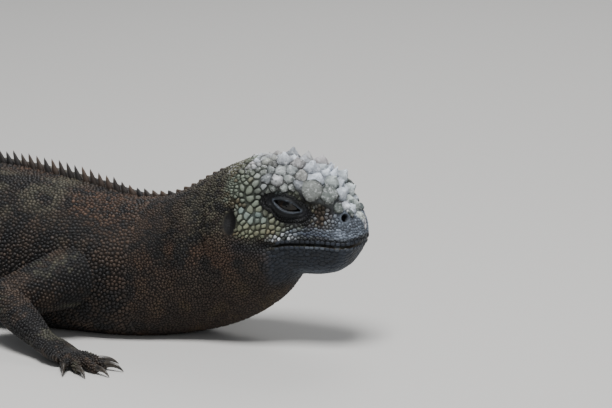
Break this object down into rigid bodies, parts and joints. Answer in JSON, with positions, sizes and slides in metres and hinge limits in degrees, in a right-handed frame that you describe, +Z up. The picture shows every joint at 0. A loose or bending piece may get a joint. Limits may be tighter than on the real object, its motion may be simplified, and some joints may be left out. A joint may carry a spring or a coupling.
{
  "type": "marine iguana",
  "caption": "Life-size marine iguana model resting on its belly, head raised on a thick neck, blunt snout, knobbed crown, spiny back crest and a long flattened tail.",
  "frame": {"origin": "on the floor, in the middle of the whole animal as seen from above", "axes": "+X towards the nose, +Y to the animal's left side, +Z up"},
  "size_m": [0.6562, 0.2128, 0.074],
  "materials": {
    "crown_skin": "rough, salt-crusted horny scales",
    "body_skin": "fine matt scales",
    "limb_skin": "fine matt scales",
    "eye": "wet gloss",
    "claw": "horn, half gloss"
  },
  "bodies": {
    "root": {"head": "crown_skin", "lower_jaw": "body_skin", "eye_left": "eye", "eye_right": "eye", "neck": "body_skin", "torso_front": "body_skin", "torso_rear": "body_skin", "tail_1": "body_skin", "tail_2": "body_skin", "tail_3": "body_skin", "tail_4": "body_skin", "upper_arm_left": "limb_skin", "forearm_left": "limb_skin", "hand_left": "limb_skin", "finger_claw_left_1": "claw", "finger_claw_left_2": "claw", "finger_claw_left_3": "claw", "finger_claw_left_4": "claw", "finger_claw_left_5": "claw", "thigh_left": "limb_skin", "shin_left": "limb_skin", "foot_left": "limb_skin", "toe_claw_left_1": "claw", "toe_claw_left_2": "claw", "toe_claw_left_3": "claw", "toe_claw_left_4": "claw", "toe_claw_left_5": "claw", "upper_arm_right": "limb_skin", "forearm_right": "limb_skin", "hand_right": "limb_skin", "finger_claw_right_1": "claw", "finger_claw_right_2": "claw", "finger_claw_right_3": "claw", "finger_claw_right_4": "claw", "finger_claw_right_5": "claw", "thigh_right": "limb_skin", "shin_right": "limb_skin", "foot_right": "limb_skin", "toe_claw_right_1": "claw", "toe_claw_right_2": "claw", "toe_claw_right_3": "claw", "toe_claw_right_4": "claw", "toe_claw_right_5": "claw"}
  },
  "joints": []
}
